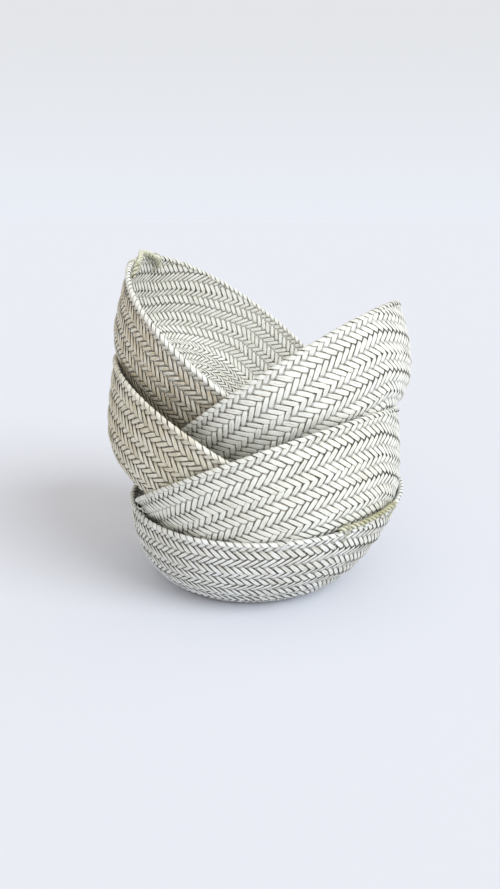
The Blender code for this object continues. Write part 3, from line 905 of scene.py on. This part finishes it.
def palm(name, group, pale, worn, edge, patch, edges, outer=0.0, bump=0.35):
    """A material of palm leaf, pale to worn, with the colour of its edges and painted shade, how much its
    ageing patches show, how dark the painted shade of the gaps at its edges is, and how much browner its
    outer face is, partly wear and partly painted warm shade.
    """
    material = bpy.data.materials.new(name)
    material.use_nodes = True
    nodes, links = material.node_tree.nodes, material.node_tree.links
    shader = nodes["Principled BSDF"]
    shader.inputs["Specular IOR Level"].default_value = PALM_SPECULAR
    fibres = nodes.new("ShaderNodeGroup")
    fibres.node_tree = group
    for key, value in (("Pale", pale), ("Worn", worn), ("Edge", edge), ("Fibre Scale", 1.0),
                       ("Patch Amount", patch), ("Edge Amount", edges), ("Outer Age And Shade", outer)):
        fibres.inputs[key].default_value = value if isinstance(value, float) else (*value, 1.0)
    relief = nodes.new("ShaderNodeBump")
    relief.inputs["Strength"].default_value = bump
    relief.inputs["Distance"].default_value = GRAIN_DEPTH
    links.new(fibres.outputs["Color"], shader.inputs["Base Color"])
    links.new(fibres.outputs["Roughness"], shader.inputs["Roughness"])
    links.new(fibres.outputs["Height"], relief.inputs["Height"])
    links.new(relief.outputs["Normal"], shader.inputs["Normal"])
    return material


def plain(name, colour, roughness=0.9):
    """One flat colour without shine."""
    material = bpy.data.materials.new(name)
    material.use_nodes = True
    shader = material.node_tree.nodes["Principled BSDF"]
    shader.inputs["Base Color"].default_value = (*colour, 1.0)
    shader.inputs["Roughness"].default_value = roughness
    shader.inputs["Specular IOR Level"].default_value = 0.0
    return material


# floor and light
FLOOR_RADIUS = 30.0
FLOOR_SIDES = 48
FLOOR_COLOUR = (0.79, 0.825, 0.92)
ROOM_COLOUR, ROOM_STRENGTH = (1.0, 0.955, 0.89, 1.0), 0.68
BACKDROP_FOOT, BACKDROP_TOP = (0.825, 0.855, 0.92, 1.0), (0.77, 0.785, 0.81, 1.0)
BACKDROP_RISE = 0.2            # of the way from level to straight up, where the backdrop has its top colour
# name, energy, angle in degrees, colour, and where it comes from
SUNS = (("key", 1.85, 40.0, (0.97, 1.0, 1.03), (0.62, -0.52, 0.58)),
        ("fill", 0.42, 60.0, (1.0, 0.97, 0.91), (-0.12, -0.94, 0.30)))


def make_floor():
    """A wide pale floor, level with the lowest basket's base."""
    shape = bmesh.new()
    bmesh.ops.create_circle(shape, cap_ends=True, segments=FLOOR_SIDES, radius=FLOOR_RADIUS)
    bmesh.ops.recalc_face_normals(shape, faces=shape.faces)
    mesh = bpy.data.meshes.new("floor")
    shape.to_mesh(mesh)
    shape.free()
    mesh.materials.append(plain("pale_cloth", FLOOR_COLOUR))
    floor = bpy.data.objects.new("floor", mesh)
    bpy.context.scene.collection.objects.link(floor)


def make_light():
    """A soft cool key from the right, a weak fill, warm room light all round, and a pale backdrop."""
    world = bpy.data.worlds.new("soft_room")
    bpy.context.scene.world = world
    world.use_nodes = True
    nodes, links = world.node_tree.nodes, world.node_tree.links
    room = nodes["Background"]
    room.inputs["Color"].default_value = ROOM_COLOUR
    room.inputs["Strength"].default_value = ROOM_STRENGTH
    backdrop = nodes.new("ShaderNodeBackground")
    # the backdrop: the floor's colour at its foot, and the room's wall above
    direction = nodes.new("ShaderNodeTexCoord")
    parts = nodes.new("ShaderNodeSeparateXYZ")
    links.new(direction.outputs["Generated"], parts.inputs[0])
    rise = nodes.new("ShaderNodeMapRange")
    rise.inputs["From Max"].default_value = BACKDROP_RISE
    links.new(parts.outputs["Z"], rise.inputs["Value"])
    sweep = nodes.new("ShaderNodeMix")
    sweep.data_type = "RGBA"
    links.new(rise.outputs[0], sweep.inputs[0])
    sweep.inputs[6].default_value = BACKDROP_FOOT
    sweep.inputs[7].default_value = BACKDROP_TOP
    links.new(sweep.outputs[2], backdrop.inputs["Color"])
    rays = nodes.new("ShaderNodeLightPath")
    seen = rays.outputs["Is Camera Ray"]
    for name in ("Is Glossy Ray", "Is Transmission Ray"):
        either = nodes.new("ShaderNodeMath")
        either.operation = "MAXIMUM"
        links.new(seen, either.inputs[0])
        links.new(rays.outputs[name], either.inputs[1])
        seen = either.outputs[0]
    both = nodes.new("ShaderNodeMixShader")
    links.new(seen, both.inputs[0])
    links.new(room.outputs[0], both.inputs[1])
    links.new(backdrop.outputs[0], both.inputs[2])
    links.new(both.outputs[0], nodes["World Output"].inputs["Surface"])
    for name, energy, angle, colour, towards in SUNS:
        data = bpy.data.lights.new(name, "SUN")
        data.energy = energy
        data.angle = math.radians(angle)
        data.color = colour
        lamp = bpy.data.objects.new(name, data)
        lamp.rotation_euler = Vector(towards).to_track_quat("Z", "Y").to_euler()
        bpy.context.scene.collection.objects.link(lamp)


# the whole stack
make_floor()
make_light()
fibres = palm_fibre_group()
loop_palm = palm("unbleached_palm", fibres, LOOP_PALE, LOOP_WORN, LOOP_EDGE, patch=1.0, edges=0.6)
sewing_palm = palm("sewing_palm", fibres, SEWING_PALE, SEWING_WORN, EDGE, patch=0.5, edges=0.2)
for number in range(BASKETS):
    bowl = Bowl(number)
    spiral = Spiral(bowl)
    plait_palm = palm(f"{bowl.name}_palm", fibres, BASKET_PALE[number], BASKET_WORN[number], EDGE,
                      patch=PATCHES[number], edges=EDGE_SHADE_AMOUNT[number], outer=OUTER_AGE_AND_SHADE[number])
    first = spiral.count_at(WEAVE_START)
    middle = spiral.count_at(FULL_TURN)
    last = spiral.count_at(FULL_TURN * math.ceil((bowl.rim - CENTRE_HOLE) / BRAID))
    make_weave(bowl, spiral, first, middle, "outer_coil", plait_palm)
    make_weave(bowl, spiral, middle, last, "inner_coils", plait_palm)
    make_rim_folds(bowl, plait_palm)
    make_seam(bowl, spiral, sewing_palm)
    make_loop(bowl, loop_palm)
    make_stitch(bowl, "a", loop_palm)
    make_stitch(bowl, "b", loop_palm)
    make_centre(bowl, plait_palm)
    for name, line, width in SLIVERS.get(bowl.name, ()):
        make_sliver(bowl, name, line, width * MM, plait_palm)
